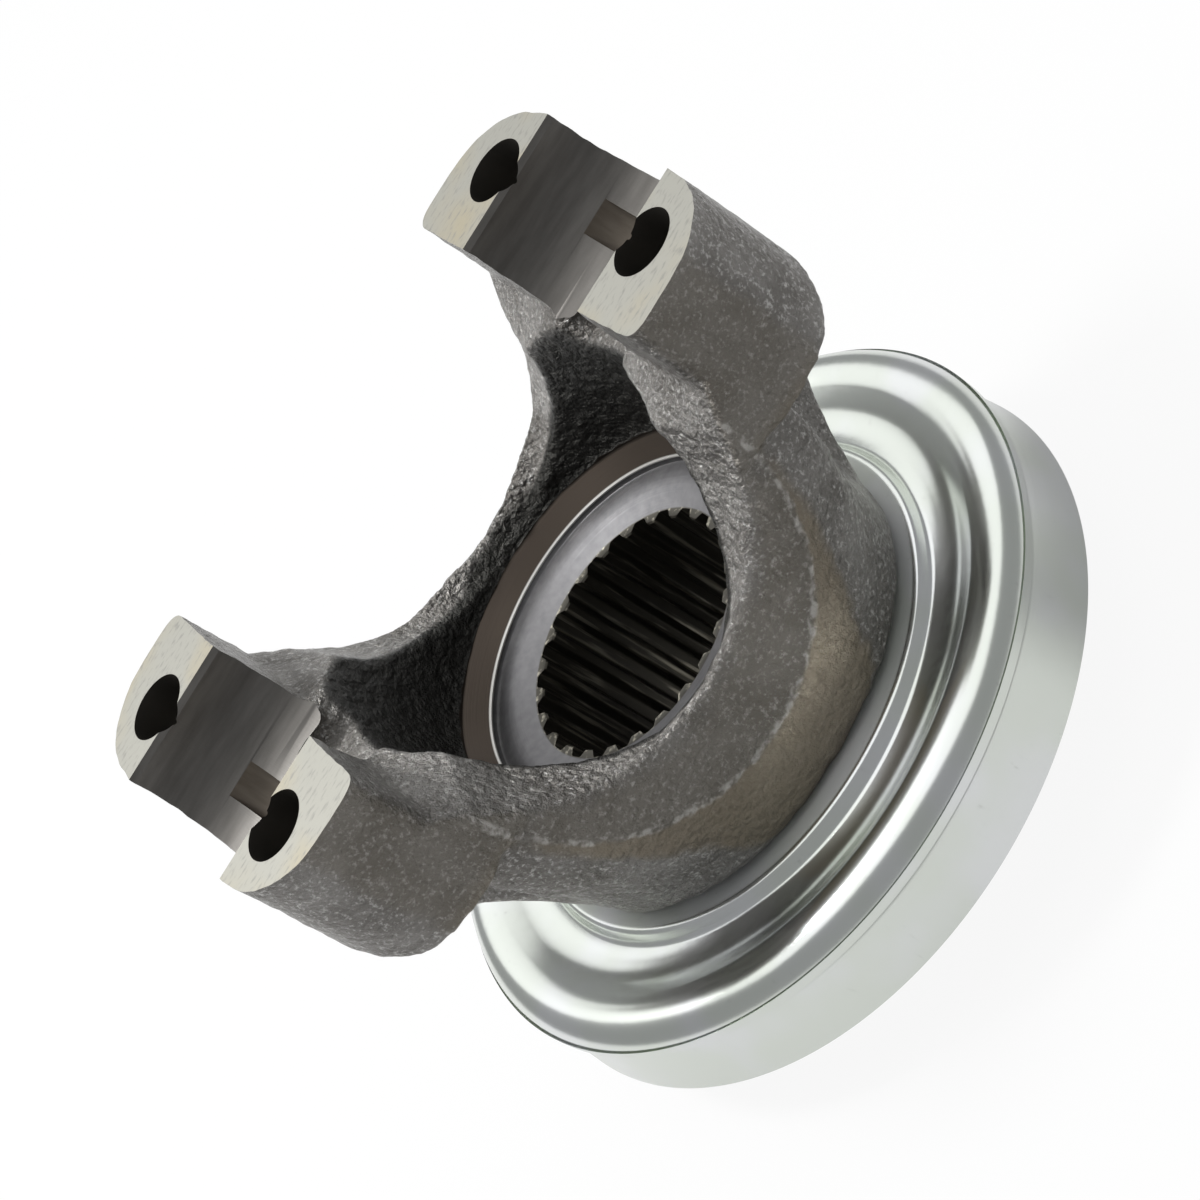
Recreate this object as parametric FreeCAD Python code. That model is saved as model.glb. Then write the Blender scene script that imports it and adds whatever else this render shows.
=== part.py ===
import FreeCAD, Part
import math
import os

from FreeCAD import Vector

# Differential pinion end yoke, half-round pattern: a steel forging with a splined hub,
# and a pressed sheet-steel dust shield seated on its seal journal.
# Frame: Z is the hub axis, z = 0 is the rear face that butts on the pinion bearing,
# X is the trunnion line of the cross, and the trunnion line lies in the plane of the lands.
# All sizes are in millimetres.

# ---- overall ----
trunnion_z = 74.0        # rear face to the trunnion line and the lands
eps = 1.0                # how far a cutter runs past the face that it cuts
run_past = 1.5           # a lofted cutter runs on to this many times its stated length

# ---- lands, bolt holes and saddles ----
bolt_x = 36.0            # bolt hole from the hub axis, along the trunnion line
bolt_y = 18.4            # bolt hole from the trunnion line
bolt_hole_r = 4.15       # clearance hole for a 5/16 in U-bolt
nut_clear_r = 8.0        # room for the nut and its socket under the ear
nut_clear_depth = 46.0
saddle_r = 14.29         # half-round seat for a 1.125 in bearing cap
saddle_chamfer = 0.45    # at the mouth of the seat
saddle_chamfer_depth = 0.72
ear_inner_x = 26.4       # inner face of an ear
ear_outer_x = 44.0       # outer face of an ear at its corners
ear_bow = 1.2            # how far the outer face stands out at its middle
ear_half_y = 27.5        # side face of an ear
ear_depth = 21.0         # lands to the nut seats
ear_outer_round = 10.8   # vertical corners on the outboard side
ear_inner_round = 2.0    # vertical corners on the inboard side
ear_foot_round = 9.0     # outboard lower edge
ear_top_round = 0.2      # outboard edge of the lands

# ---- groove for the cap's locating tab, one in each saddle ----
tab_groove_x = 35.3      # inboard side of the groove
tab_groove_width = 4.6
tab_groove_r = 11.2
tab_groove_drop = 5.8    # centre of the cutter below the trunnion line

# ---- forged relief under the inboard half of each saddle ----
relief_half_y = 8.2      # half width where it breaks into the saddle
relief_wall_foot = 11.7  # its upright walls end here, below the trunnion line
relief_floor = 15.6      # floor below the trunnion line
relief_draft = 1.6       # how much narrower the floor is, each side

# ---- arch between the ears ----
arch_depth = 31.0        # trunnion line to the lowest line of the arch
arch_r_mid = 16.3        # arch radius at the middle plane
arch_r_side = 26.0       # arch radius at the side faces
arch_side_y = 26.8       # where that side radius is reached
ledge_top = 11.0         # ear's inner face ends here, below the trunnion line
ledge_inset = 0.05       # the ledge starts this far inboard of the ear's inner face
ledge_bottom = 14.7      # a sloped ledge runs from there down to the arch
flank_y = 28.4           # side face of the hub
flank_half_x = 24.6      # outline of the flank's inner edge: half an ellipse
flank_drop = 15.1        # centre of that ellipse below the trunnion line
flank_depth = 41.2       # its lowest point below the trunnion line

# ---- forged pocket and turned seat in the hub ----
pocket_top_r = 25.8
pocket_top = 14.4        # below the trunnion line, where pocket_top_r holds
pocket_foot_r = 24.5
pocket_foot = 32.9
seat_ring_r = 21.95      # ring at the edge of the nut seat
seat_ring = 35.3
seat_step = 0.5
seat_inset = 0.4         # the seat is this much smaller than its ring, on the radius
nut_seat = 36.4          # nut seat below the trunnion line

# ---- spline ----
spline_teeth = 24
spline_root_r = 15.88    # 1.25 in across the tooth roots
spline_crest_r = 14.75
spline_gap_share = 0.54  # share of the pitch taken by a gap, at the root
spline_land_share = 0.36 # share of the pitch taken by a tooth's crest
spline_mouth = 0.2       # the mouth's chamfer opens this far past the roots
pilot_r = 16.4           # plain bore behind the spline
pilot_length = 12.0
pilot_chamfer = 0.8

# ---- hub body ----
hub_shoulder = 50.8      # shoulder under the hub, below the trunnion line
bell_stations = (        # depth below the trunnion line, half length, half width, corner
    (hub_shoulder, 28.2, 27.2, 26.8), (49.2, 29.3, flank_y, 26.4), (45.5, 30.4, flank_y, 25.4),
    (38.7, 32.6, flank_y, 23.0), (31.0, 36.2, 28.0, 21.0), (ear_depth, 39.6, 26.9, 17.5),
    (ledge_top, 41.0, 26.5, 17.5))
journal_r = 23.8         # ground seal journal
journal_chamfer = 1.2
shield_seat_r = 24.1     # press fit for the shield's collar, above the journal

# ---- dust shield ----
sheet = 1.0
collar_length = 4.6
seat_run_out = 0.6       # how far the shield's seat runs on past the collar
collar_bend = 1.5
ring_r = 31.4            # outer edge of the flat ring round the hub
ring_bend = 0.9
step_r = 32.3            # foot of the step down into the dish
step_drop = 1.6
step_bend = 1.2
dish_r = 35.4            # lowest line of the dish
dish_drop = 2.4
dish_bend = 5.0
shoulder_r = 45.4        # widest line of the shoulder
shoulder_rise = 4.0      # where the dish and the shoulder's outside would meet
shoulder_bend = 4.0
shoulder_drop = 2.4      # lower end of the shoulder's outside
shoulder_foot_bend = 1.3
neck_inset = 1.0         # how far the skirt starts inside the shoulder
neck_drop = 4.2
neck_bend = 1.4
rim_r = 45.5
rim_depth = 63.4         # rim below the trunnion line
bend_flats = 2           # flats that make up each bend


def down(depth):
    """Height of something given as a depth below the trunnion line."""
    return trunnion_z - depth


def rod(radius, z0, z1, x=0.0, y=0.0):
    return Part.makeCylinder(radius, z1 - z0, Vector(x, y, z0))


def revolved(points):
    """Solid turned about Z from corner points (radius, height)."""
    ring = [Vector(r, 0, z) for r, z in points]
    face = Part.Face(Part.makePolygon(ring + ring[:1]))
    return face.revolve(Vector(0, 0, 0), Vector(0, 0, 1), 360)


def rounded_path(corners):
    """Edges of a path through corners (u, v, radius), each corner rounded by its radius."""
    edges = []
    here = Vector(corners[0][0], 0, corners[0][1])
    for before, corner, after in zip(corners, corners[1:], corners[2:]):
        tip = Vector(corner[0], 0, corner[1])
        back = (Vector(before[0], 0, before[1]) - tip).normalize()
        ahead = (Vector(after[0], 0, after[1]) - tip).normalize()
        half = back.getAngle(ahead) / 2
        reach = corner[2] / math.tan(half)
        middle = (back + ahead).normalize() * (corner[2] / math.sin(half) - corner[2])
        start, end = tip + back * reach, tip + ahead * reach
        edges.append(Part.LineSegment(here, start).toShape())
        edges.append(Part.Arc(start, tip + middle, end).toShape())
        here = end
    edges.append(Part.LineSegment(here, Vector(corners[-1][0], 0, corners[-1][1])).toShape())
    return edges


def rounded_rectangle(half_x, half_y, corner, z):
    """Closed outline of four lines and four quarter arcs at one height."""
    flat_x, flat_y = half_x - corner, half_y - corner
    slant = corner * math.sqrt(0.5)
    edges = []
    for sx, sy in ((1, 1), (-1, 1), (-1, -1), (1, -1)):
        on_side = Vector(sx * half_x, sy * flat_y, z)
        on_end = Vector(sx * flat_x, sy * half_y, z)
        tip = Vector(sx * (flat_x + slant), sy * (flat_y + slant), z)
        if sx == sy:
            edges.append(Part.Arc(on_side, tip, on_end).toShape())
            edges.append(Part.LineSegment(on_end, Vector(-on_end.x, on_end.y, z)).toShape())
        else:
            edges.append(Part.Arc(on_end, tip, on_side).toShape())
            edges.append(Part.LineSegment(on_side, Vector(on_side.x, -on_side.y, z)).toShape())
    return Part.Wire(edges)


def ear_blank():
    """One ear: its plan outline cut to its side profile."""
    bow_start = ear_half_y - ear_outer_round
    corner = ear_outer_round * (1 - math.sqrt(0.5))
    small = ear_inner_round * (1 - math.sqrt(0.5))
    inner, outer, side = ear_inner_x, ear_outer_x, ear_half_y
    points = [Vector(inner, bow_start, 0), Vector(inner, side - ear_inner_round, 0)]
    plan = [Part.LineSegment(Vector(inner, ear_inner_round - side, 0), points[1]).toShape()]
    plan.append(Part.Arc(points[1], Vector(inner + small, side - small, 0),
                         Vector(inner + ear_inner_round, side, 0)).toShape())
    plan.append(Part.LineSegment(Vector(inner + ear_inner_round, side, 0),
                                 Vector(outer - ear_outer_round, side, 0)).toShape())
    plan.append(Part.Arc(Vector(outer - ear_outer_round, side, 0),
                         Vector(outer - corner, side - corner, 0),
                         Vector(outer, bow_start, 0)).toShape())
    plan.append(Part.Arc(Vector(outer, bow_start, 0), Vector(outer + ear_bow, 0, 0),
                         Vector(outer, -bow_start, 0)).toShape())
    plan.append(Part.Arc(Vector(outer, -bow_start, 0), Vector(outer - corner, corner - side, 0),
                         Vector(outer - ear_outer_round, -side, 0)).toShape())
    plan.append(Part.LineSegment(Vector(outer - ear_outer_round, -side, 0),
                                 Vector(inner + ear_inner_round, -side, 0)).toShape())
    plan.append(Part.Arc(Vector(inner + ear_inner_round, -side, 0),
                         Vector(inner + small, small - side, 0),
                         Vector(inner, ear_inner_round - side, 0)).toShape())
    block = Part.Face(Part.Wire(plan)).extrude(Vector(0, 0, ear_depth))
    block.translate(Vector(0, 0, down(ear_depth)))
    reach = outer + ear_bow
    profile = rounded_path([(inner, trunnion_z, 0), (reach, trunnion_z, ear_top_round),
                            (reach, down(ear_depth), ear_foot_round),
                            (inner, down(ear_depth), 0)])
    profile.append(Part.LineSegment(Vector(inner, 0, down(ear_depth)),
                                    Vector(inner, 0, trunnion_z)).toShape())
    side_form = Part.Face(Part.Wire(profile)).extrude(Vector(0, 2 * side, 0))
    side_form.translate(Vector(0, -side, 0))
    return block.common(side_form)


def hub_blank():
    """Bell of the hub with both arms: round at its shoulder, long and oval under the ears."""
    return Part.makeLoft([rounded_rectangle(half_x, half_y, corner, down(depth))
                          for depth, half_x, half_y, corner in bell_stations], True, True)


def both_ears(one):
    """The shape and its copy turned half a turn about the hub axis."""
    other = one.copy()
    other.rotate(Vector(0, 0, 0), Vector(0, 0, 1), 180)
    return [one, other]


def bowl_wire(half_top, top_depth, low_depth, y):
    """Closed outline at one y: an arc through the lowest line, closed by a level chord."""
    left, right = Vector(-half_top, y, down(top_depth)), Vector(half_top, y, down(top_depth))
    arc = Part.Arc(left, Vector(0, y, down(low_depth)), right)
    return Part.Wire([arc.toShape(), Part.LineSegment(right, left).toShape()])


def arch_half_width(radius, depth):
    """Half width, at a depth, of an arch of this radius whose lowest line is at arch_depth."""
    rise = radius - (arch_depth - depth)
    return math.sqrt(radius ** 2 - rise ** 2)


def arch_wire(radius, y):
    """Outline of the gap at one y: sloped ledges at the feet of the ears, and the arch."""
    half, reach = arch_half_width(radius, ledge_bottom), ear_inner_x - ledge_inset
    corners = [Vector(half, y, down(ledge_bottom)), Vector(reach, y, down(ledge_top)),
               Vector(reach, y, down(ledge_top) + eps), Vector(-reach, y, down(ledge_top) + eps),
               Vector(-reach, y, down(ledge_top)), Vector(-half, y, down(ledge_bottom))]
    edges = [Part.LineSegment(p, q).toShape() for p, q in zip(corners, corners[1:])]
    edges.append(Part.Arc(corners[-1], Vector(0, y, down(arch_depth)), corners[0]).toShape())
    return Part.Wire(edges)


def between(start, end, share):
    """Value at this share of the way from start to end; more than 1 runs past the end."""
    return start + (end - start) * share


def arch_cutter():
    """Gap between the ears, in two halves that widen from the middle plane to the sides."""
    wide = between(arch_r_mid, arch_r_side, run_past)
    return [Part.makeLoft([arch_wire(arch_r_mid, 0), arch_wire(wide, side * run_past * arch_side_y)],
                          True, True) for side in (1, -1)]


def flank_cutter():
    """Slope on each side of the arch, from its rounded edge down to the flat side face."""
    start = arch_half_width(arch_r_side, flank_drop)
    cutters = []
    for side in (1, -1):
        wires = [bowl_wire(between(start, flank_half_x, share), flank_drop,
                           between(arch_depth, flank_depth, share),
                           side * between(arch_side_y, flank_y, share))
                 for share in (1 - run_past, 2 * run_past - 1)]
        cutters.append(Part.makeLoft(wires, True, True))
    return cutters


def saddle_cutter():
    """Both half-round saddles, with a chamfer at their mouths."""
    length = 2 * (ear_outer_x + ear_bow + eps)
    bore = Part.makeCylinder(saddle_r, length, Vector(-length / 2, 0, trunnion_z), Vector(1, 0, 0))
    wide, chamfer_lap = saddle_r + saddle_chamfer, 0.02
    mouth = [Vector(-length / 2, y, z) for y, z in (
        (-wide, trunnion_z), (-wide, trunnion_z + eps), (wide, trunnion_z + eps),
        (wide, trunnion_z), (saddle_r - chamfer_lap, down(saddle_chamfer_depth)),
        (-saddle_r + chamfer_lap, down(saddle_chamfer_depth)))]
    chamfer = Part.Face(Part.makePolygon(mouth + mouth[:1])).extrude(Vector(length, 0, 0))
    return bore.fuse(chamfer)


def relief_cutter():
    """Forged relief under the inboard half of the saddles, open to the pocket."""
    narrow = relief_half_y - relief_draft
    outline = [Vector(-tab_groove_x, y, z) for y, z in (
        (-relief_half_y, down(relief_wall_foot) + eps), (relief_half_y, down(relief_wall_foot) + eps),
        (relief_half_y, down(relief_wall_foot)), (narrow, down(relief_floor)),
        (-narrow, down(relief_floor)), (-relief_half_y, down(relief_wall_foot)))]
    return Part.Face(Part.makePolygon(outline + outline[:1])).extrude(Vector(2 * tab_groove_x, 0, 0))


def tab_groove_cutter():
    start = Vector(tab_groove_x, 0, down(tab_groove_drop))
    return Part.makeCylinder(tab_groove_r, tab_groove_width, start, Vector(1, 0, 0))


def bolt_cutters():
    """Bolt holes and the flat nut seats milled under the ears."""
    cutters = []
    for sx in (1, -1):
        for sy in (1, -1):
            cutters.append(rod(bolt_hole_r, down(ear_depth) - eps, trunnion_z + eps,
                               sx * bolt_x, sy * bolt_y))
            cutters.append(rod(nut_clear_r, down(nut_clear_depth), down(ear_depth), sx * bolt_x, sy * bolt_y))
    return cutters


def bore_cutter():
    """Forged pocket, turned cone, ring step and nut seat, in one turned form."""
    top = down(ledge_top) + eps
    return revolved([(0, top), (pocket_top_r, top), (pocket_top_r, down(pocket_top)),
                     (pocket_foot_r, down(pocket_foot)), (seat_ring_r, down(seat_ring)),
                     (seat_ring_r, down(seat_ring + seat_step)),
                     (seat_ring_r - seat_inset, down(nut_seat)), (0, down(nut_seat))])


def spline_cutter():
    """Splined bore: a gap profile repeated round the axis, then chamfers and the pilot bore."""
    pitch = 2 * math.pi / spline_teeth
    half_root = pitch * spline_gap_share / 2
    half_crest = pitch * (1 - spline_land_share) / 2
    edges = []
    for tooth in range(spline_teeth):
        at = tooth * pitch

        def spot(radius, angle):
            return Vector(radius * math.cos(angle), radius * math.sin(angle), 0)

        foot0, foot1 = spot(spline_root_r, at - half_root), spot(spline_root_r, at + half_root)
        crest0, crest1 = spot(spline_crest_r, at - half_crest), spot(spline_crest_r, at + half_crest)
        after = spot(spline_crest_r, at + pitch - half_crest)
        edges.append(Part.LineSegment(crest0, foot0).toShape())
        edges.append(Part.Arc(foot0, spot(spline_root_r, at), foot1).toShape())
        edges.append(Part.LineSegment(foot1, crest1).toShape())
        edges.append(Part.Arc(crest1, spot(spline_crest_r, at + pitch / 2), after).toShape())
    length = down(nut_seat) + 2 * eps
    bore = Part.Face(Part.Wire(edges)).extrude(Vector(0, 0, length))
    bore.translate(Vector(0, 0, -eps))
    wide = spline_root_r + spline_mouth
    mouth = Part.makeCone(spline_crest_r, wide, wide - spline_crest_r,
                          Vector(0, 0, down(nut_seat) - (wide - spline_crest_r)))
    pilot = rod(pilot_r, -eps, pilot_length)
    lead = Part.makeCone(pilot_r + pilot_chamfer + eps, pilot_r, pilot_chamfer + eps,
                         Vector(0, 0, -eps))
    return [bore, mouth, pilot, lead]


def journal_blank():
    """Seal journal behind the hub with its end chamfer, and the larger seat of the shield."""
    seat = down(hub_shoulder + collar_length + seat_run_out)
    top = down(hub_shoulder) + eps
    return revolved([(0, 0), (journal_r - journal_chamfer, 0), (journal_r, journal_chamfer),
                     (journal_r, seat), (shield_seat_r, seat), (shield_seat_r, top), (0, top)])


def make_yoke():
    blank = hub_blank().fuse(both_ears(ear_blank()) + [journal_blank()])
    cutters = arch_cutter() + [bore_cutter(), saddle_cutter(), relief_cutter()]
    cutters += flank_cutter() + both_ears(tab_groove_cutter()) + bolt_cutters() + spline_cutter()
    yoke = blank
    for cutter in cutters:
        yoke = yoke.cut(cutter)
    return yoke.removeSplitter()


def offset_corners(corners, gap):
    """Corners of the path that runs to the right of another at this distance."""
    steps = []
    for start, end in zip(corners, corners[1:]):
        run, rise = end[0] - start[0], end[1] - start[1]
        length = math.hypot(run, rise)
        steps.append((run / length, rise / length))
    moved = []
    for index, (u, v, radius) in enumerate(corners):
        before = steps[max(index - 1, 0)]
        after = steps[min(index, len(steps) - 1)]
        spread = 1 + before[0] * after[0] + before[1] * after[1]
        turn = before[0] * after[1] - before[1] * after[0]
        new_radius = radius + math.copysign(gap, turn) if radius else 0
        moved.append((u + gap * (before[1] + after[1]) / spread,
                      v - gap * (before[0] + after[0]) / spread, new_radius))
    return moved


def bent_line(corners):
    """Points of a path through corners (u, v, radius), each bend made of equal flats."""
    points = []
    for edge in rounded_path(corners):
        if isinstance(edge.Curve, Part.Circle):
            points += edge.discretize(Number=bend_flats + 1)[:-1]
        else:
            points.append(edge.valueAt(edge.FirstParameter))
    last = corners[-1]
    return points + [Vector(last[0], 0, last[1])]


def make_shield():
    """Pressed shield: collar on its seat, flat ring round the hub, dish, shoulder and skirt."""
    web = down(hub_shoulder)
    top = [(shield_seat_r, web - collar_length, 0), (shield_seat_r, web, collar_bend),
           (ring_r, web, ring_bend), (step_r, web - step_drop, step_bend),
           (dish_r, web - dish_drop, dish_bend), (shoulder_r, web + shoulder_rise, shoulder_bend),
           (shoulder_r, web - shoulder_drop, shoulder_foot_bend),
           (shoulder_r - neck_inset, web - neck_drop, neck_bend), (rim_r, down(rim_depth), 0)]
    outline = bent_line(top) + bent_line(offset_corners(top, sheet))[::-1]
    section = Part.Face(Part.makePolygon(outline + outline[:1]))
    return section.revolve(Vector(0, 0, 0), Vector(0, 0, 1), 360)


os.makedirs("parts", exist_ok=True)
for name, solid in (("yoke_forging", make_yoke()), ("dust_shield", make_shield())):
    print(name, solid.isValid(), len(solid.Solids), round(solid.Volume), solid.BoundBox)
    solid.exportStep("parts/" + name + ".step")
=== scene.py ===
import math

import bmesh
import bpy
import numpy as np
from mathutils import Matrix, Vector


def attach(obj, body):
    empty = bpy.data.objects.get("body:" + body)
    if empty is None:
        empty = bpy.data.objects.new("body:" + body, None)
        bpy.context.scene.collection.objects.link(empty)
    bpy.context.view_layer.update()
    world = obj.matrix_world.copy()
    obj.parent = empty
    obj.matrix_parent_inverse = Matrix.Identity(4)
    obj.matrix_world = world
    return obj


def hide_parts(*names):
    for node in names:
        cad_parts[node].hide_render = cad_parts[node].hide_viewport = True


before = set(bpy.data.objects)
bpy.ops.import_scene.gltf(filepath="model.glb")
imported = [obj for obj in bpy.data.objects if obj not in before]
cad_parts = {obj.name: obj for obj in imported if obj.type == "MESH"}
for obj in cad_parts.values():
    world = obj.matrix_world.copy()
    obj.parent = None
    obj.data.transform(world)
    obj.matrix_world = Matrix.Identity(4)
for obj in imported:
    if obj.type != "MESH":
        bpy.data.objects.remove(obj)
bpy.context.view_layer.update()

mm = 0.001

# ---- yoke forging: the blank as it leaves the press ----
# Hot forged steel, trimmed along its two flanks and shot blasted all over. It starts from
# the CAD node with its machined places filled again; its edges are softened and its skin
# is made uneven.

land_z = 74.0            # height of the milled lands, mm
saddle_r = 14.29
bolt_x, bolt_y, bolt_r = 36.0, 18.4, 4.15
ear_inner, ear_outer = 26.4, 44.0
ear_foot_z = 53.0
groove_x, groove_r, groove_z = (35.3, 39.9), 11.2, 68.2
shoulder_z, seat_r, journal_r = 23.2, 24.1, 23.8
stock = 1.2              # left on the lands for the mill
crest_y = 26.6           # the ridge beside the parting line lies this far out
pocket_floor_z = 33.0    # the arch's lowest forged skin
skin_voxel = 0.5
cheek = [(20.9, 53.8), (29.0, 53.8), (29.0, 63.0), (26.35, 63.0), (24.15, 59.3), (22.7, 56.3)]
rng = np.random.default_rng(11)
lattice = rng.random((48, 48, 48))


def grid_faces(rows, columns, wrap_rows=False, wrap_columns=True):
    """Quads of a grid of points held row after row; a wrap joins the last one to the first."""
    row = np.arange(rows if wrap_rows else rows - 1)[:, None]
    column = np.arange(columns if wrap_columns else columns - 1)[None, :]
    next_row, next_column = (row + 1) % rows, (column + 1) % columns
    corners = np.broadcast_arrays(row * columns + column, row * columns + next_column,
                                  next_row * columns + next_column, next_row * columns + column)
    return np.stack(corners, -1).reshape(-1, 4)


def mesh_of(name, points, faces):
    """A mesh from points in mm and a list of faces."""
    mesh = bpy.data.meshes.new(name)
    mesh.from_pydata((np.asarray(points) * mm).tolist(), [], faces)
    mesh.update()
    return mesh


def turned(name, profile, steps=128, closed=False, angles=None):
    """Surface of revolution: each row of the profile is (r, z), or (r at each angle, z).
    A closed profile makes a ring; an open one is capped by fans at both ends."""
    angles = np.linspace(0, 2 * math.pi, steps, endpoint=False) if angles is None else angles
    radius = np.array([np.broadcast_to(r, angles.shape) for r, z in profile])
    height = np.array([[z] for r, z in profile]) + np.zeros(angles.size)
    ring = np.stack([radius * np.cos(angles), radius * np.sin(angles), height], -1)
    rows, columns = radius.shape
    faces = grid_faces(rows, columns, wrap_rows=closed).tolist()
    points = ring.reshape(-1, 3)
    if not closed:
        first = list(range(columns))[::-1]
        last = list(range((rows - 1) * columns, rows * columns))
        faces += [first, last]
    return mesh_of(name, points, faces)


def shifted(mesh, along_x=False, shift=(0, 0, 0)):
    """The mesh with its Z axis laid along X if asked, then shifted by mm."""
    points = np.empty(len(mesh.vertices) * 3)
    mesh.vertices.foreach_get("co", points)
    points = points.reshape(-1, 3)
    if along_x:
        points = points @ np.array([[0, 0, 1], [0, 1, 0], [-1, 0, 0]]).T
    mesh.vertices.foreach_set("co", (points + np.asarray(shift) * mm).ravel())
    mesh.update()
    return mesh


def rod(radius, low, high, x=0.0, y=0.0, steps=96):
    return shifted(turned("rod", [(radius, low), (radius, high)], steps), shift=(x, y, 0))


def rod_along_x(radius, ends, z, steps=192):
    return shifted(turned("rod", [(radius, min(ends)), (radius, max(ends))], steps), True, (0, 0, z))


def prism_along(axis, outline, low, high):
    """Closed solid: an outline of corners in the plane across an axis, carried along it."""
    count = len(outline)
    ends = [[np.insert(np.asarray(corner, float), axis, level) for corner in outline]
            for level in (low, high)]
    faces = [[i, (i + 1) % count, count + (i + 1) % count, count + i] for i in range(count)]
    faces += [list(range(count))[::-1], list(range(count, 2 * count))]
    mesh = mesh_of("prism", np.vstack(ends), faces)
    solid = bmesh.new()
    solid.from_mesh(mesh)
    bmesh.ops.recalc_face_normals(solid, faces=solid.faces)
    solid.to_mesh(mesh)
    solid.free()
    return mesh


def block(low, high):
    (x0, y0, z0), (x1, y1, z1) = low, high
    return prism_along(2, [(x0, y0), (x1, y0), (x1, y1), (x0, y1)], z0, z1)


def together(name, meshes):
    """One mesh that holds several, each with its own doubles merged."""
    whole = bmesh.new()
    for mesh in meshes:
        single = bmesh.new()
        single.from_mesh(mesh)
        bmesh.ops.remove_doubles(single, verts=single.verts, dist=1e-7)
        merged = bpy.data.meshes.new(name)
        single.to_mesh(merged)
        single.free()
        whole.from_mesh(merged)
    result = bpy.data.meshes.new(name)
    whole.to_mesh(result)
    whole.free()
    return result


def piece_of(name, mesh):
    piece = bpy.data.objects.new(name, mesh)
    bpy.context.scene.collection.objects.link(piece)
    return piece


def modified(piece, kind, **settings):
    """Applies one modifier and keeps the result as the piece's mesh."""
    modifier = piece.modifiers.new(kind.lower(), kind)
    for key, value in settings.items():
        setattr(modifier, key, value)
    result = bpy.data.meshes.new_from_object(
        piece.evaluated_get(bpy.context.evaluated_depsgraph_get()))
    piece.modifiers.clear()
    piece.data = result


def spots_of(mesh):
    """Points of a mesh as an array, mm."""
    points = np.empty(len(mesh.vertices) * 3)
    mesh.vertices.foreach_get("co", points)
    return points.reshape(-1, 3) / mm


def set_spots(mesh, points):
    mesh.vertices.foreach_set("co", (points * mm).ravel())
    mesh.update()


def normals_of(mesh):
    normals = np.empty(len(mesh.vertices) * 3)
    mesh.vertices.foreach_get("normal", normals)
    return normals.reshape(-1, 3)


def uneven(points, size, offset=0.0):
    """Value noise from -1 to 1: a table of random numbers read on a lattice of this size in
    mm and blended between its corners by a smooth step."""
    spots = points / size + offset
    cell = np.floor(spots).astype(int)
    share = spots - cell
    share = share * share * (3 - 2 * share)
    total = np.zeros(len(points))
    for corner in np.ndindex(2, 2, 2):
        index = (cell + corner) % lattice.shape[0]
        weight = np.prod(np.where(corner, share, 1 - share), axis=1)
        total += weight * lattice[index[:, 0], index[:, 1], index[:, 2]]
    return 2 * total - 1


def smoothed(mesh, points, weight, rounds):
    """Each point is drawn towards the mean of its neighbours by its weight, again and again."""
    edges = np.empty(len(mesh.edges) * 2, dtype=int)
    mesh.edges.foreach_get("vertices", edges)
    a, b = edges.reshape(-1, 2).T
    count = np.bincount(np.concatenate([a, b]), minlength=len(points))[:, None]
    for _ in range(rounds):
        total = np.stack([np.bincount(a, points[b, k], len(points))
                          + np.bincount(b, points[a, k], len(points)) for k in range(3)], -1)
        points = points + weight[:, None] * (total / np.maximum(count, 1) - points)
    return points


def ramp(value, start, end):
    """0 up to start, 1 from end, and a smooth step between them."""
    share = np.clip((value - start) / (end - start), 0, 1)
    return share * share * (3 - 2 * share)


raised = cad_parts["yoke_forging"].data.copy()
corners = spots_of(raised)
corners[corners[:, 2] > land_z - 0.02, 2] += stock
set_spots(raised, corners)
fills = [raised, rod(24.6, -0.8, 41.2), rod(25.4, -0.8, shoulder_z + 1)]
for side in (1, -1):
    fills.append(rod_along_x(saddle_r - 0.25, (side * ear_inner, side * (ear_outer + 0.3)), land_z))
    fills.append(rod_along_x(groove_r + 0.3, (side * 35.35, side * 40.1), groove_z))
    for front in (1, -1):
        fills.append(rod(bolt_r + 0.6, ear_foot_z + 0.1, land_z + 1.0, side * bolt_x, front * bolt_y))
        fills.append(prism_along(1, [(side * x, z) for x, z in cheek], front * 25.6, front * 27.5))
yoke = piece_of("yoke", together("yoke", fills))
modified(yoke, "REMESH", mode="VOXEL", voxel_size=skin_voxel * mm, adaptivity=0.0)

# The hammer left the far ridge of the arch higher than the near one, and the arch dips a
# little inside the pocket's edge. The hub is slightly waisted.
skin = spots_of(yoke.data)
side_y = np.abs(skin[:, 1])
trimmed = ramp(side_y, 27.2, 27.9) * ramp(skin[:, 2], 24.0, 26.0)
skin = smoothed(yoke.data, skin, np.full(len(skin), 0.5), 5)
off_middle, height = np.abs(skin[:, 0]), skin[:, 2]
on_ridge = ramp(side_y, 24.4, crest_y)
ridge_lift = np.where(skin[:, 1] > 0, 2.0, 0.1)
dip = 0.6 * ramp(side_y, 16.0, 20.0) * (1 - on_ridge)
low_arch = ramp(-off_middle, -21.0, -6.0) * ramp(height, pocket_floor_z, 42.5) * ramp(-height, -52.0, -44.0)
skin[:, 2] += low_arch * (on_ridge * ridge_lift - dip)
waist = ramp(height, 23.4, 26.0) * ramp(-height, -46.0, -38.0) * ramp(off_middle, 26.0, 29.0)
skin[:, 0] -= 0.9 * waist * np.sign(skin[:, 0])
set_spots(yoke.data, skin)

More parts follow.
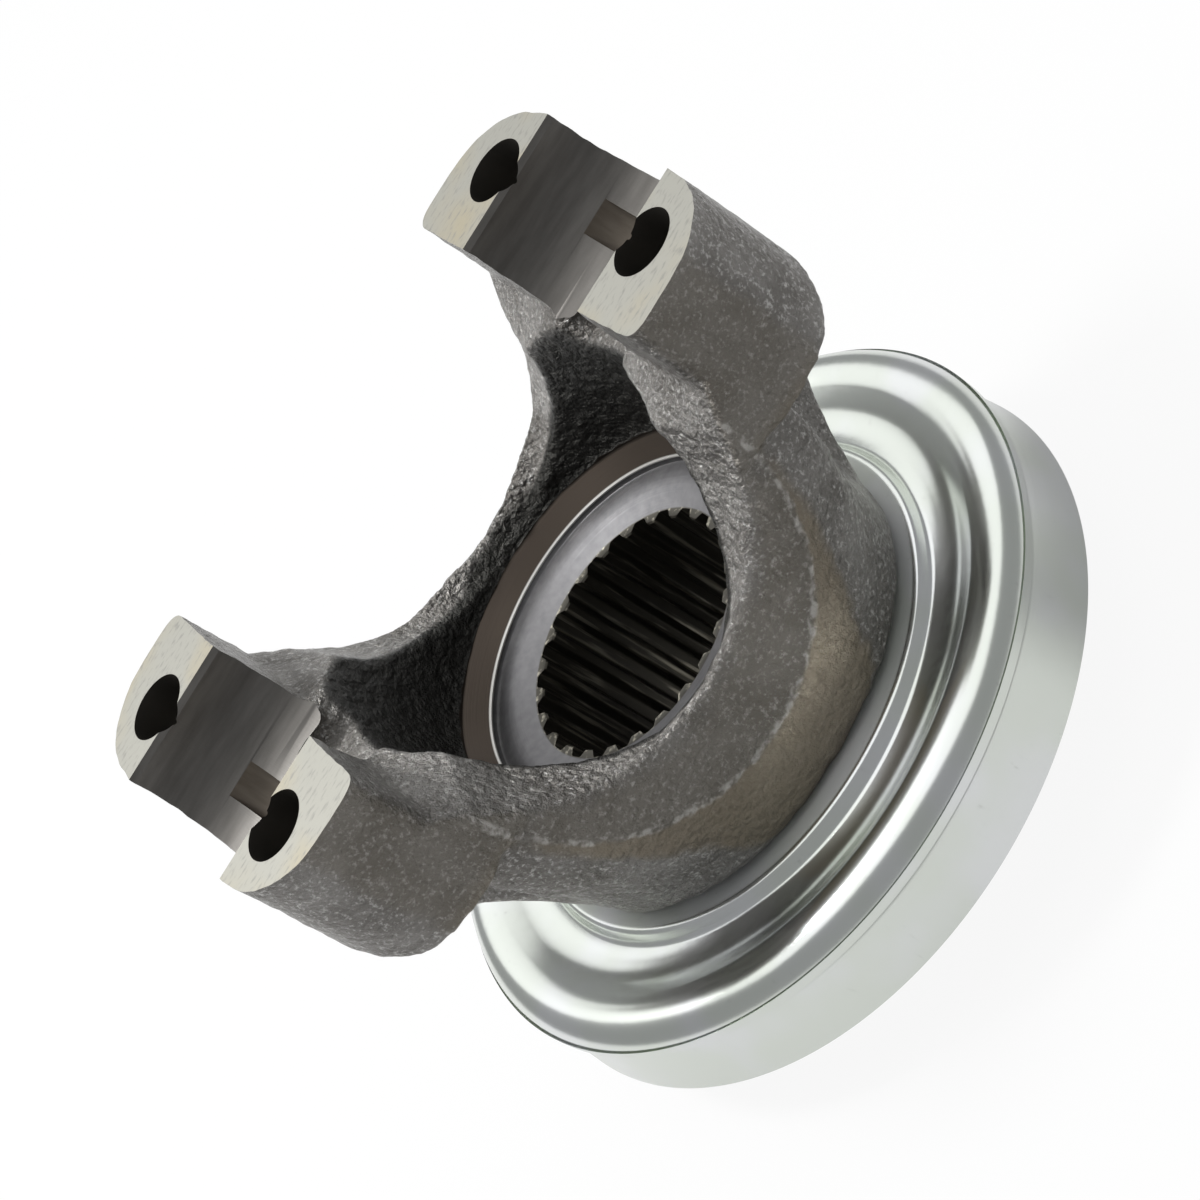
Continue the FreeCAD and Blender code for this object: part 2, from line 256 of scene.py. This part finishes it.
# The skin waves gently and is pebbled, most of all in the arch and least where it is trimmed.
hollow = ramp(-np.hypot(skin[:, 0], side_y * 0.55), -27.5, -25.5)
coarse = (0.6 + 0.4 * hollow) * (1 - 0.75 * trimmed)
waves = 0.10 * uneven(skin, 7.0, 3.1) + 0.05 * uneven(skin, 3.1, 9.7)
pebbles = 0.14 * uneven(skin, 1.55, 1.3) + 0.10 * uneven(skin, 0.95, 5.9)
set_spots(yoke.data, skin + (waves + coarse * pebbles)[:, None] * normals_of(yoke.data))

# ---- yoke forging: machining ----
# The lands and saddles are milled, the saddles' tab grooves cut with a disc, the holes
# drilled, the bore turned and broached, and the seal journal ground, all in the blank. Each
# cut leaves its own finish, and the forged skin stays everywhere else.

spline_teeth, root_r, crest_r = 24, 15.88, 14.75
seat_z, ring_z, cone_z = 38.05, 38.7, 41.15
mouth_r, tooth_end_z, tip_bevel = 18.2, 37.0, 0.2
ring_r, cone_r, clear_r = 21.95, 24.55, 24.2
pilot_r, pilot_z = 16.4, 12.0
far = 60.0               # a cutter that runs past the part ends here


def spline_angles():
    """Angles round the bore, set close where a gap's floor turns into its flanks and tips."""
    pitch = 2 * math.pi / spline_teeth
    half = np.array([0, 0.06, 0.12, 0.165, 0.195, 0.22, 0.25, 0.28, 0.31, 0.335, 0.355, 0.38, 0.44, 0.5])
    whole = np.concatenate([half, 1 - half[-2:0:-1]])
    return (np.arange(spline_teeth)[:, None] * pitch + whole[None, :] * pitch).ravel()


def spline_radius(angles):
    """Root circle at a gap's middle, crest circle between gaps, and flanks that lean between
    them with rounded feet and tips."""
    off = np.abs((angles / (2 * math.pi / spline_teeth) + 0.5) % 1 - 0.5)
    flank = 0.65 * ramp(off, 0.15, 0.40) + 0.35 * np.clip((off - 0.19) / 0.15, 0, 1)
    return root_r + (crest_r - root_r) * flank


around = spline_angles()
section = spline_radius(around)
bore = [(pilot_r + 1.8, -1.0), (pilot_r, 0.8), (pilot_r, pilot_z), (section, pilot_z),
        (section, tooth_end_z - tip_bevel), (np.maximum(section, crest_r + tip_bevel), tooth_end_z),
        (root_r + 0.05, tooth_end_z), (mouth_r, seat_z), (ring_r - 0.3, seat_z),
        (ring_r, ring_z - 0.25), (ring_r, ring_z), (cone_r, cone_z), (clear_r, cone_z + 0.2),
        (clear_r, far)]
saddle_mouth = [(-14.74, 74.0), (-14.74, 74.6), (14.74, 74.6), (14.74, 74.0), (14.27, 73.28),
                (-14.27, 73.28)]
journal = [(seat_r, shoulder_z), (seat_r, 18.0), (journal_r, 18.0), (journal_r, 1.2), (22.6, 0.0),
           (far, -0.01), (far, shoulder_z)]
cutters = {
    "bore": [turned("bore", bore, angles=around)],
    "land": [block((-far, -far, land_z), (far, far, 90))],
    "saddle": [rod_along_x(saddle_r, (-far, far), land_z), prism_along(0, saddle_mouth, -far, far)],
    "groove": [rod_along_x(groove_r, (side * groove_x[0], side * groove_x[1]), groove_z)
               for side in (1, -1)],
    "hole": [rod(bolt_r, 40.0, 80.0, side * bolt_x, front * bolt_y)
             for side in (1, -1) for front in (1, -1)],
    "journal": [turned("journal", journal, 192, closed=True), block((-far, -far, -5), (far, far, 0))],
}


def node(tree, kind, inputs=None, **settings):
    """One shader node; an input that is given a socket is linked, and any other is set."""
    made = tree.nodes.new("ShaderNode" + kind)
    for key, value in settings.items():
        setattr(made, key, value)
    for key, value in (inputs or {}).items():
        if isinstance(value, bpy.types.NodeSocket):
            tree.links.new(value, made.inputs[key])
        else:
            made.inputs[key].default_value = value
    return made


def sum_of(tree, operation, a, b=0.0, c=0.0, clamp=False):
    """One arithmetic step on sockets or numbers."""
    return node(tree, "Math", {0: a, 1: b, 2: c}, operation=operation, use_clamp=clamp).outputs[0]


def grain(tree, spot, size, stretch=(1, 1, 1), detail=2.0, roughness=0.5):
    """Noise from 0 to 1 whose grains are this many mm wide, drawn out along axes if asked."""
    scale = tuple(1000.0 / (size * k) for k in stretch)
    spread = node(tree, "Mapping", {"Vector": spot, "Scale": scale})
    return node(tree, "TexNoise", {"Vector": spread.outputs[0], "Scale": 1.0, "Detail": detail,
                                   "Roughness": roughness}).outputs["Fac"]


def band(tree, value, low, high):
    """0 below the band, 1 above it, smooth between."""
    return node(tree, "MapRange", {"Value": value, "From Min": low, "From Max": high},
                interpolation_type="SMOOTHSTEP").outputs["Result"]


def fade(tree, value, low, high):
    """1 below the band, 0 above it, smooth between."""
    return sum_of(tree, "SUBTRACT", 1.0, band(tree, value, low, high))


def both(tree, *shares):
    """Product of shares: 1 only where all of them are."""
    result = shares[0]
    for share in shares[1:]:
        result = sum_of(tree, "MULTIPLY", result, share)
    return result


def blend(tree, share, a, b):
    """Colour a turned towards colour b by this share."""
    mix = node(tree, "Mix", {"Factor": share}, data_type="RGBA")
    for index, colour in ((6, a), (7, b)):
        if isinstance(colour, bpy.types.NodeSocket):
            tree.links.new(colour, mix.inputs[index])
        else:
            mix.inputs[index].default_value = (*colour, 1.0)
    return mix.outputs[2]


def new_finish(name):
    """A fresh material, its node tree and the place on the object that it is read at."""
    material = bpy.data.materials.new(name)
    material.use_nodes = True
    tree = material.node_tree
    spot = node(tree, "TexCoord").outputs["Object"]
    return material, tree, spot


def metal(tree, colour, roughness, height=None, depth=0.0, metallic=1.0, **others):
    """Fills in the metal's shader; height is a pattern from 0 to 1 and depth its relief in mm."""
    shader = tree.nodes["Principled BSDF"]
    inputs = {"Base Color": colour, "Roughness": roughness, "Metallic": metallic, **others}
    if height is not None:
        bump = node(tree, "Bump", {"Height": height, "Distance": depth * mm, "Strength": 1.0})
        inputs["Normal"] = bump.outputs[0]
    for key, value in inputs.items():
        if isinstance(value, bpy.types.NodeSocket):
            tree.links.new(value, shader.inputs[key])
        elif key == "Base Color":
            shader.inputs[key].default_value = (*value, 1.0)
        else:
            shader.inputs[key].default_value = value


def far_from_axis(tree, spot):
    """Distance from the hub axis, mm."""
    flat = node(tree, "VectorMath", {0: spot, 1: (1000.0, 1000.0, 0.0)}, operation="MULTIPLY")
    return node(tree, "VectorMath", {0: flat.outputs[0]}, operation="LENGTH").outputs["Value"]


def in_mm(tree, spot, axis):
    """One coordinate in mm, X and Y without their sign."""
    parts = node(tree, "SeparateXYZ", {0: spot})
    value = sum_of(tree, "MULTIPLY", parts.outputs[axis], 1000.0)
    return value if axis == "Z" else sum_of(tree, "ABSOLUTE", value)


def forged_skin():
    """Pebbled skin with painted glints, and painted shade in the pocket; the flanks beyond the parting line
    are trimmed, smoother and browner, and the line itself, half an ellipse on each side, carries a painted
    highlight."""
    material, tree, spot = new_finish("forged_skin")
    x, y, z = (in_mm(tree, spot, axis) for axis in "XYZ")
    up = sum_of(tree, "DIVIDE", sum_of(tree, "SUBTRACT", z, 58.9), 26.1)
    oval = node(tree, "CombineXYZ", {"X": sum_of(tree, "DIVIDE", x, 24.6), "Z": up})
    oval = node(tree, "VectorMath", {0: oval.outputs[0]}, operation="LENGTH").outputs["Value"]
    wander = both(tree, sum_of(tree, "SUBTRACT", grain(tree, spot, 2.2), 0.5), 0.05)
    oval = sum_of(tree, "ADD", oval, wander)
    from_line = sum_of(tree, "ABSOLUTE", sum_of(tree, "SUBTRACT", oval, 0.99))
    side = band(tree, y, 26.6, 27.3)
    flank = both(tree, side, fade(tree, z, 51.0, 56.0), band(tree, oval, 0.985, 1.015))
    # Painted highlight: a bright band painted along the ridge of the parting line.
    painted_ridge_highlight = both(tree, fade(tree, from_line, 0.006, 0.024), side,
                band(tree, grain(tree, spot, 1.4), 0.4, 0.6))
    # Painted shade: the pocket inside the arch, under the ears, is painted near black where shade falls.
    painted_pocket_shade = both(tree, fade(tree, far_from_axis(tree, spot), 25.6, 26.4), band(tree, z, 40.5, 41.5))
    patches = band(tree, grain(tree, spot, 8.0), 0.35, 0.7)
    # Painted glints: pale specks painted into the pebbled skin where light would catch it.
    painted_glint = band(tree, grain(tree, spot, 0.6, detail=3.0, roughness=0.7), 0.5, 0.72)
    colour = blend(tree, patches, (0.16, 0.151, 0.138), (0.25, 0.24, 0.225))
    # The painted glints turn the skin's colour pale in small specks.
    colour = blend(tree, painted_glint, colour, (0.50, 0.49, 0.47))
    colour = blend(tree, both(tree, side, 0.45), colour, (0.17, 0.15, 0.118))
    colour = blend(tree, both(tree, flank, 0.8), colour, (0.18, 0.152, 0.112))
    # The painted shade in the pocket darkens the colour to near black.
    colour = blend(tree, painted_pocket_shade, colour, (0.045, 0.044, 0.040))
    # The painted highlight along the parting line's ridge turns the colour pale.
    colour = blend(tree, both(tree, painted_ridge_highlight, 0.6), colour, (0.60, 0.58, 0.55))
    cells = node(tree, "Mapping", {"Vector": spot, "Scale": (1000.0 / 1.15,) * 3})
    domes = node(tree, "TexVoronoi", {"Vector": cells.outputs[0], "Scale": 1.0, "Smoothness": 0.5},
                 feature="SMOOTH_F1").outputs["Distance"]
    height = sum_of(tree, "ADD", both(tree, domes, -0.75), grain(tree, spot, 0.5, detail=4.0, roughness=0.6))
    relief = both(tree, height, sum_of(tree, "SUBTRACT", 1.0, both(tree, flank, 0.55)))
    metal(tree, colour, 0.36, relief, 0.62, metallic=0.8)
    return material


def land_finish():
    """Face milled: fine marks of the cutter and a faint stain of oil."""
    material, tree, spot = new_finish("land")
    stain = band(tree, grain(tree, spot, 12.0), 0.45, 0.75)
    marks = band(tree, grain(tree, spot, 0.5, (3, 1, 1), detail=4.0), 0.5, 0.75)
    colour = blend(tree, stain, (0.33, 0.325, 0.29), (0.36, 0.325, 0.24))
    colour = blend(tree, marks, colour, (0.24, 0.235, 0.215))
    metal(tree, colour, 0.48, grain(tree, spot, 0.3, (6, 1, 1)), 0.006, metallic=0.85)
    return material


def saddle_finish():
    """Bored along X: fine lines round the seat, over streaks of oil."""
    material, tree, spot = new_finish("saddle")
    streaks = grain(tree, spot, 1.2, (6, 1, 1), detail=4.0)
    colour = blend(tree, streaks, (0.075, 0.070, 0.064), (0.18, 0.172, 0.16))
    metal(tree, colour, 0.42, grain(tree, spot, 0.14, (1, 60, 60)), 0.010, metallic=0.85)
    return material


def groove_finish():
    """Cut with a disc: marks round the groove."""
    material, tree, spot = new_finish("groove")
    marks = grain(tree, spot, 1.0, (1, 5, 5), detail=3.0)
    colour = blend(tree, marks, (0.08, 0.066, 0.052), (0.19, 0.165, 0.135))
    metal(tree, colour, 0.45, grain(tree, spot, 0.2, (1, 40, 40)), 0.010, metallic=0.85)
    return material


def hole_finish():
    """Drilled: fine marks round the hole."""
    material, tree, spot = new_finish("hole")
    metal(tree, (0.14, 0.13, 0.115), 0.42, grain(tree, spot, 0.2, (40, 40, 1)), 0.008, metallic=0.9)
    return material


def bore_finish():
    """Turned seat with a painted highlight along its step, a darker cone, and an oily spline whose flanks
    carry streaks of the broach."""
    material, tree, spot = new_finish("bore")
    z, radius = in_mm(tree, spot, "Z"), far_from_axis(tree, spot)
    turning = node(tree, "CombineXYZ", {"X": both(tree, radius, 5.0), "Y": both(tree, z, 5.0)})
    turning = node(tree, "TexNoise", {"Vector": turning.outputs[0], "Scale": 1.0, "Detail": 3.0})
    streaks = band(tree, grain(tree, spot, 0.9, (1, 1, 14), detail=3.0), 0.52, 0.72)
    # Painted highlight: a thin bright ring painted on the step between the seat and the cone.
    painted_step_highlight = both(tree, band(tree, radius, 21.75, 21.85), band(tree, z, ring_z - 0.22, ring_z - 0.16),
                fade(tree, z, ring_z + 0.1, ring_z + 0.25))
    seat = blend(tree, grain(tree, spot, 1.1, detail=4.0), (0.105, 0.104, 0.108), (0.19, 0.187, 0.19))
    spline = blend(tree, streaks, (0.06, 0.056, 0.046), (0.34, 0.32, 0.26))
    colour = blend(tree, band(tree, radius, 15.9, 16.1), spline, seat)
    colour = blend(tree, band(tree, z, ring_z + 0.02, ring_z + 0.12), colour, (0.075, 0.060, 0.048))
    # The painted highlight on the step turns the colour near white.
    colour = blend(tree, painted_step_highlight, colour, (0.75, 0.74, 0.70))
    metal(tree, colour, 0.34, turning.outputs["Fac"], 0.012, metallic=0.85)
    return material


def journal_finish():
    """Ground bright: very fine marks round the journal."""
    material, tree, spot = new_finish("journal")
    metal(tree, (0.45, 0.44, 0.42), 0.22, grain(tree, spot, 0.1, (400, 400, 1)), 0.002, metallic=1.0)
    return material


for made in (forged_skin(), bore_finish(), land_finish(), saddle_finish(), groove_finish(),
             hole_finish(), journal_finish()):
    yoke.data.materials.append(made)


def outward(mesh):
    """Turns every face of a closed mesh outwards."""
    solid = bmesh.new()
    solid.from_mesh(mesh)
    bmesh.ops.recalc_face_normals(solid, faces=solid.faces)
    solid.to_mesh(mesh)
    solid.free()


for number, meshes in enumerate(cutters.values(), 1):
    for mesh in meshes:
        outward(mesh)
        for made in yoke.data.materials:
            mesh.materials.append(made)
        mesh.polygons.foreach_set("material_index", [number] * len(mesh.polygons))
        tool = piece_of("tool", mesh)
        modified(yoke, "BOOLEAN", operation="DIFFERENCE", solver="MANIFOLD", object=tool)
        bpy.data.objects.remove(tool)
yoke.data.shade_smooth()
yoke.data.set_sharp_from_angle(angle=math.radians(38))
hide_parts("yoke_forging")
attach(yoke, "root")

# ---- dust shield ----
# Pressed from 1 mm sheet steel and zinc plated: a collar on the seal journal, a flat ring
# against the hub's shoulder, a dished web and a skirt. It is a press fit on the hub.

sheet = 1.0
bend_steps = 8
shield_top = [(24.1, 18.6, 0), (24.1, 23.2, 1.5), (31.4, 23.2, 0.9), (32.3, 21.6, 1.2),
              (35.4, 20.8, 5.0), (45.4, 27.2, 4.0), (45.4, 20.8, 1.3), (44.4, 19.0, 1.4),
              (45.5, 10.6, 0)]


def right_hand_path(corners, gap):
    """The path that runs to the right of another at this gap; bends grow or shrink by it."""
    spots = np.array([corner[:2] for corner in corners])
    runs = np.diff(spots, axis=0)
    runs /= np.linalg.norm(runs, axis=1)[:, None]
    before, after = np.vstack([runs[:1], runs]), np.vstack([runs, runs[-1:]])
    spread = 1 + (before * after).sum(1)
    turn = before[:, 0] * after[:, 1] - before[:, 1] * after[:, 0]
    radius = np.array([corner[2] for corner in corners])
    radius = np.where(radius > 0, np.maximum(radius + np.sign(turn) * gap, 0.05), 0)
    both = before + after
    moved = spots + gap * np.stack([both[:, 1], -both[:, 0]], -1) / spread[:, None]
    return [(u, v, r) for (u, v), r in zip(moved, radius)]


def bent_path(corners):
    """Points along a path, with an arc of the corner's radius at each bend: the arc starts and
    ends at radius x tan(half the turn) from the corner."""
    spots = np.array([corner[:2] for corner in corners])
    points = [spots[:1]]
    for index in range(1, len(corners) - 1):
        corner, radius = spots[index], corners[index][2]
        into = (corner - spots[index - 1]) / np.linalg.norm(corner - spots[index - 1])
        out = (spots[index + 1] - corner) / np.linalg.norm(spots[index + 1] - corner)
        half = math.acos(np.clip(into @ out, -1, 1)) / 2
        share = np.linspace(-half, half, bend_steps + 1)[:, None]
        middle = (out - into) / np.linalg.norm(out - into)
        centre = corner + middle * radius / math.cos(half)
        side = (into + out) / np.linalg.norm(into + out)
        points.append(centre + radius * (np.sin(share) * side - np.cos(share) * middle))
    points.append(spots[-1:])
    return np.vstack(points)


underside = right_hand_path(shield_top, sheet)
outline = np.vstack([bent_path(shield_top), bent_path(underside)[::-1]])
shield = piece_of("shield", turned("shield", outline.tolist(), 288, closed=True))
outward(shield.data)


def zinc_finish():
    """Glossy plating, duller on the flat ring that the hub's shoulder bears on."""
    material, tree, spot = new_finish("zinc")
    radius, z = far_from_axis(tree, spot), in_mm(tree, spot, "Z")
    flat = both(tree, fade(tree, radius, 30.6, 31.0), band(tree, z, 22.8, 23.0))
    scuff = band(tree, grain(tree, spot, 0.8, (1, 1, 4), detail=4.0, roughness=0.7), 0.62, 0.78)
    clouds = band(tree, grain(tree, spot, 14.0), 0.4, 0.65)
    colour = blend(tree, clouds, (0.66, 0.69, 0.64), (0.70, 0.715, 0.71))
    colour = blend(tree, both(tree, scuff, 0.5), colour, (0.45, 0.45, 0.43))
    dull = sum_of(tree, "ADD", 0.21, both(tree, flat, 0.30))
    solid = sum_of(tree, "SUBTRACT", 1.0, both(tree, flat, 0.55))
    metal(tree, colour, dull, grain(tree, spot, 2.0), 0.012, metallic=solid)
    return material


shield.data.materials.append(zinc_finish())
shield.data.shade_smooth()
shield.data.set_sharp_from_angle(angle=math.radians(35))
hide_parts("dust_shield")
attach(shield, "root")

# ---- studio ----
# A pale floor under the object, even light all round, a wide soft ceiling with a smaller soft
# box for the highlights, and the camera. Floor and backdrop look white to the camera alone.

floor_reach = 3000.0
floor_corners = [(-floor_reach, -floor_reach, 0), (floor_reach, -floor_reach, 0),
                 (floor_reach, floor_reach, 0), (-floor_reach, floor_reach, 0)]
floor = piece_of("floor", mesh_of("floor", floor_corners, [[0, 1, 2, 3]]))
floor_look = bpy.data.materials.new("floor")
floor_look.use_nodes = True
tree = floor_look.node_tree
paint = tree.nodes["Principled BSDF"]
paint.inputs["Base Color"].default_value = (0.6, 0.6, 0.6, 1.0)
paint.inputs["Roughness"].default_value = 0.9
glow = node(tree, "Emission", {"Color": (1.0, 1.0, 1.0, 1.0), "Strength": 1.0})
seen = sum_of(tree, "MULTIPLY", node(tree, "LightPath").outputs["Is Camera Ray"], 0.92)
mixed = node(tree, "MixShader", {0: seen, 1: paint.outputs[0], 2: glow.outputs[0]})
tree.links.new(mixed.outputs[0], tree.nodes["Material Output"].inputs[0])
floor.data.materials.append(floor_look)

scene = bpy.context.scene
scene.view_settings.view_transform = "Standard"
world = bpy.data.worlds.new("studio")
scene.world = world
world.use_nodes = True
tree = world.node_tree
seen = node(tree, "LightPath").outputs["Is Camera Ray"]
backdrop = blend(tree, seen, (0.36, 0.365, 0.375), (1.0, 1.0, 1.0))
tree.links.new(backdrop, tree.nodes["Background"].inputs["Color"])


def soft_box(name, direction, distance, size, power):
    """Area light at this distance along a direction, turned to face the hub."""
    lamp = bpy.data.lights.new(name, "AREA")
    lamp.size, lamp.energy = size, power
    light = bpy.data.objects.new(name, lamp)
    along = Vector(direction).normalized()
    light.location = along * distance + Vector((0, 0, 0.04))
    light.rotation_euler = along.to_track_quat("Z", "Y").to_euler()
    scene.collection.objects.link(light)


soft_box("ceiling", (0.1, 0.35, 0.93), 1.2, 2.2, 15.0)
soft_box("key", (-0.30, 0.30, 0.90), 0.8, 0.2, 6.0)

lens = bpy.data.cameras.new("camera")
lens.lens, lens.sensor_width, lens.clip_start = 100.7057, 36.0, 0.01
camera = bpy.data.objects.new("camera", lens)
camera.location = (0.012528, -0.321783, 0.248948)
camera.rotation_euler = [math.radians(turn) for turn in (39.02, 46.0739, -39.6193)]
scene.collection.objects.link(camera)
scene.camera = camera
